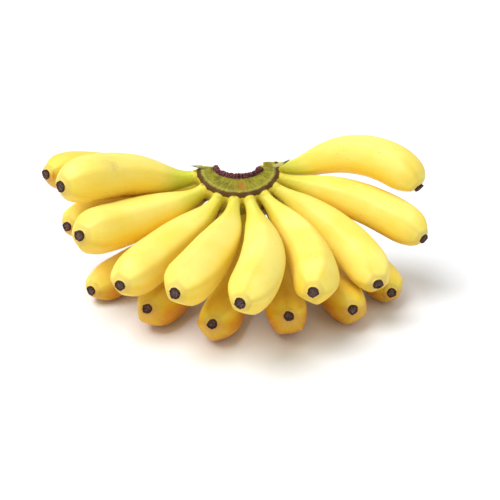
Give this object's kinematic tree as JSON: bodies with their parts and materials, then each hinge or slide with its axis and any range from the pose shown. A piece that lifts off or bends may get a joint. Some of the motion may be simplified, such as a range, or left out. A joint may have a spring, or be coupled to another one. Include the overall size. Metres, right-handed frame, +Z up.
{
  "type": "hand of bananas",
  "caption": "Hand of small ripe dessert bananas: two rows of curved fingers fanned round one cut crown, resting on its lower row.",
  "frame": {"origin": "on the resting surface, under the middle of the hand's box", "axes": "+X to the hand's right, -Y the way the fingers fan out, +Z up"},
  "size_m": [0.2718, 0.1882, 0.1114],
  "materials": {
    "peel": "satin, slightly waxy ripe peel",
    "crown": "matte cut stalk, green-yellow face with a dried brown rim",
    "dried": "matte dried tissue"
  },
  "bodies": {
    "root": {"crown": "crown", "banana_upper_1": "peel", "banana_upper_2": "peel", "banana_upper_3": "peel", "banana_upper_4": "peel", "banana_upper_5": "peel", "banana_upper_6": "peel", "banana_upper_7": "peel", "banana_upper_8": "peel", "banana_upper_9": "peel", "banana_lower_1": "peel", "banana_lower_2": "peel", "banana_lower_3": "peel", "banana_lower_4": "peel", "banana_lower_5": "peel", "banana_lower_6": "peel", "banana_lower_7": "peel", "banana_lower_8": "peel", "undeveloped_finger_right": "dried", "undeveloped_finger_left": "dried"}
  },
  "joints": []
}
